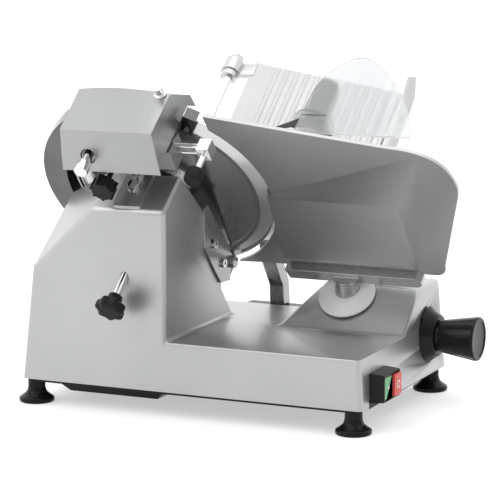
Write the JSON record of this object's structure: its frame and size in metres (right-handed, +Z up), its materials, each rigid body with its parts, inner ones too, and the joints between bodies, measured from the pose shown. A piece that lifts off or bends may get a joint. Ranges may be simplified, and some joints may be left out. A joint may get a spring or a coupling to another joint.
{
  "type": "deli meat slicer",
  "caption": "Tabletop gravity-feed slicer with a tilted round blade, sliding ribbed food table, adjustable gauge plate, swing pusher and blade sharpener.",
  "frame": {"origin": "on the surface it stands on, under the middle of its overall box", "axes": "+X towards the index knob (the operator's side), +Y towards the food carriage, +Z up"},
  "size_m": [0.486, 0.4564, 0.3705],
  "materials": {
    "casting": "satin anodised casting",
    "satin_aluminium": "satin",
    "bright_aluminium": "bright brushed",
    "bottom_plastic": "moulded",
    "foot_rubber": "moulded",
    "mirror_steel": "polished",
    "polished_steel": "polished",
    "steel": "ground",
    "zinc_steel": "satin",
    "cast_grey": "as cast",
    "motor_paint": "gloss paint",
    "black_plastic": "moulded",
    "belt_rubber": "ribbed",
    "green_plastic": "moulded",
    "red_plastic": "moulded",
    "grey_plastic": "moulded",
    "bronze": "sintered",
    "white_plastic": "moulded",
    "clear_plastic": "clear",
    "abrasive": "gritty"
  },
  "bodies": {
    "machine": {"base_casting": "casting", "bottom_cover": "bottom_plastic", "feet": "foot_rubber", "bearing_housing": "satin_aluminium", "shaft_bearings": "steel", "blade_cover": "satin_aluminium", "motor_housing": "motor_paint", "motor_bracket": "satin_aluminium", "drive_belt": "belt_rubber", "ring_guard": "bright_aluminium", "guard_screws": "zinc_steel", "slice_deflector": "zinc_steel", "deflector_nut": "black_plastic", "switch_housing": "black_plastic", "capacitor": "grey_plastic", "cable_gland": "black_plastic", "gauge_guide": "steel", "knob_flange": "black_plastic", "carriage_rails": "polished_steel", "rail_brackets": "satin_aluminium", "sharpener_mount": "cast_grey", "mount_bolts": "zinc_steel"},
    "blade_set": {"blade_shaft": "steel", "blade_pulley": "cast_grey", "blade": "mirror_steel", "blade_screws": "zinc_steel"},
    "motor_rotor": {"motor_shaft": "steel", "motor_pulley": "cast_grey"},
    "tie_rod_set": {"tie_rod": "polished_steel", "star_knob": "black_plastic"},
    "index": {"cam_spindle": "steel", "index_knob": "black_plastic"},
    "gauge": {"gauge_plate": "satin_aluminium", "gauge_bracket": "satin_aluminium", "neck_skirt": "polished_steel", "gauge_slide_block": "cast_grey"},
    "carriage": {"carriage_table": "bright_aluminium", "carriage_fence": "bright_aluminium", "carriage_fasteners": "zinc_steel", "carriage_arm": "satin_aluminium", "slide_block": "satin_aluminium", "slide_bushes": "bronze", "pusher_rod": "polished_steel"},
    "pusher_slider": {"pusher_bush": "white_plastic"},
    "pusher": {"pusher_arm": "black_plastic", "pusher_plate": "bright_aluminium", "hand_guard": "clear_plastic", "pusher_handle": "black_plastic"},
    "start_key": {"start_button": "green_plastic"},
    "stop_key": {"stop_button": "red_plastic"},
    "clamp": {"clamp_knob": "black_plastic"},
    "sharpener": {"sharpener_post": "polished_steel", "sharpener_body": "cast_grey", "sharpener_cover": "bright_aluminium", "cover_pin": "polished_steel"},
    "grinding_set": {"grinding_spindle": "polished_steel", "grinding_stone": "abrasive"},
    "truing_set": {"truing_stone": "abrasive"},
    "lever": {"lever_frame": "polished_steel", "lever_knob": "black_plastic"}
  },
  "joints": [
    {"name": "blade_spin", "type": "hinge", "parent": "machine", "child": "blade_set", "pos_m": [-0.104, -0.06924, 0.235], "axis": [0, 0.766, 0.6428], "continuous": true},
    {"name": "motor_spin", "type": "hinge", "parent": "machine", "child": "motor_rotor", "pos_m": [-0.146, -0.03871, 0.10527], "axis": [0, 0.766, 0.6428], "continuous": true},
    {"name": "tie_rod_turn", "type": "hinge", "parent": "machine", "child": "tie_rod_set", "pos_m": [-0.104, -0.14584, 0.17072], "axis": [0, 0.766, 0.6428], "range_deg": [0, 900]},
    {"name": "index_turn", "type": "hinge", "parent": "machine", "child": "index", "pos_m": [0.199, 0.03046, 0.0707], "axis": [1, 0, 0], "range_deg": [-82.5, 247.5]},
    {"name": "gauge_slide", "type": "slide", "parent": "machine", "child": "gauge", "axis": [0, -0.766, -0.6428], "range_m": [-0.00299, 0.00899]},
    {"name": "carriage_slide", "type": "slide", "parent": "machine", "child": "carriage", "axis": [1, 0, 0], "range_m": [-0.08, 0.12]},
    {"name": "pusher_slide", "type": "slide", "parent": "carriage", "child": "pusher_slider", "axis": [0, 0.766, 0.6428], "range_m": [-0.04, 0.14]},
    {"name": "pusher_swing", "type": "hinge", "parent": "pusher_slider", "child": "pusher", "pos_m": [-0.151, 0.0627, 0.21778], "axis": [0, -0.766, -0.6428], "range_deg": [0, 95]},
    {"name": "start_press", "type": "slide", "parent": "machine", "child": "start_key", "axis": [-1, 0, 0], "range_m": [0, 0.002], "stiffness_N_per_m": 900},
    {"name": "stop_press", "type": "slide", "parent": "machine", "child": "stop_key", "axis": [-1, 0, 0], "range_m": [0, 0.002], "stiffness_N_per_m": 900},
    {"name": "clamp_turn", "type": "hinge", "parent": "machine", "child": "clamp", "pos_m": [-0.119, -0.17048, 0.26231], "axis": [0, 0.766, 0.6428], "range_deg": [-540, 0]},
    {"name": "sharpener_lift", "type": "slide", "parent": "machine", "child": "sharpener", "axis": [0, -0.6428, 0.766], "range_m": [0, 0.03]},
    {"name": "grinding_spin", "type": "hinge", "parent": "sharpener", "child": "grinding_set", "pos_m": [-0.129, -0.17894, 0.30351], "axis": [0, 0.766, 0.6428], "continuous": true},
    {"name": "truing_spin", "type": "hinge", "parent": "sharpener", "child": "truing_set", "pos_m": [-0.092, -0.12826, 0.32711], "axis": [0, 0.766, 0.6428], "continuous": true},
    {"name": "lever_slide", "type": "slide", "parent": "sharpener", "child": "lever", "axis": [1, 0, 0], "range_m": [-0.003, 0.012]}
  ],
  "couplings": [
    {"joint": "motor_spin", "follows": "blade_spin", "ratio": 3.4545},
    {"joint": "index_turn", "follows": "gauge_slide", "rad_per_m": 479.97}
  ]
}
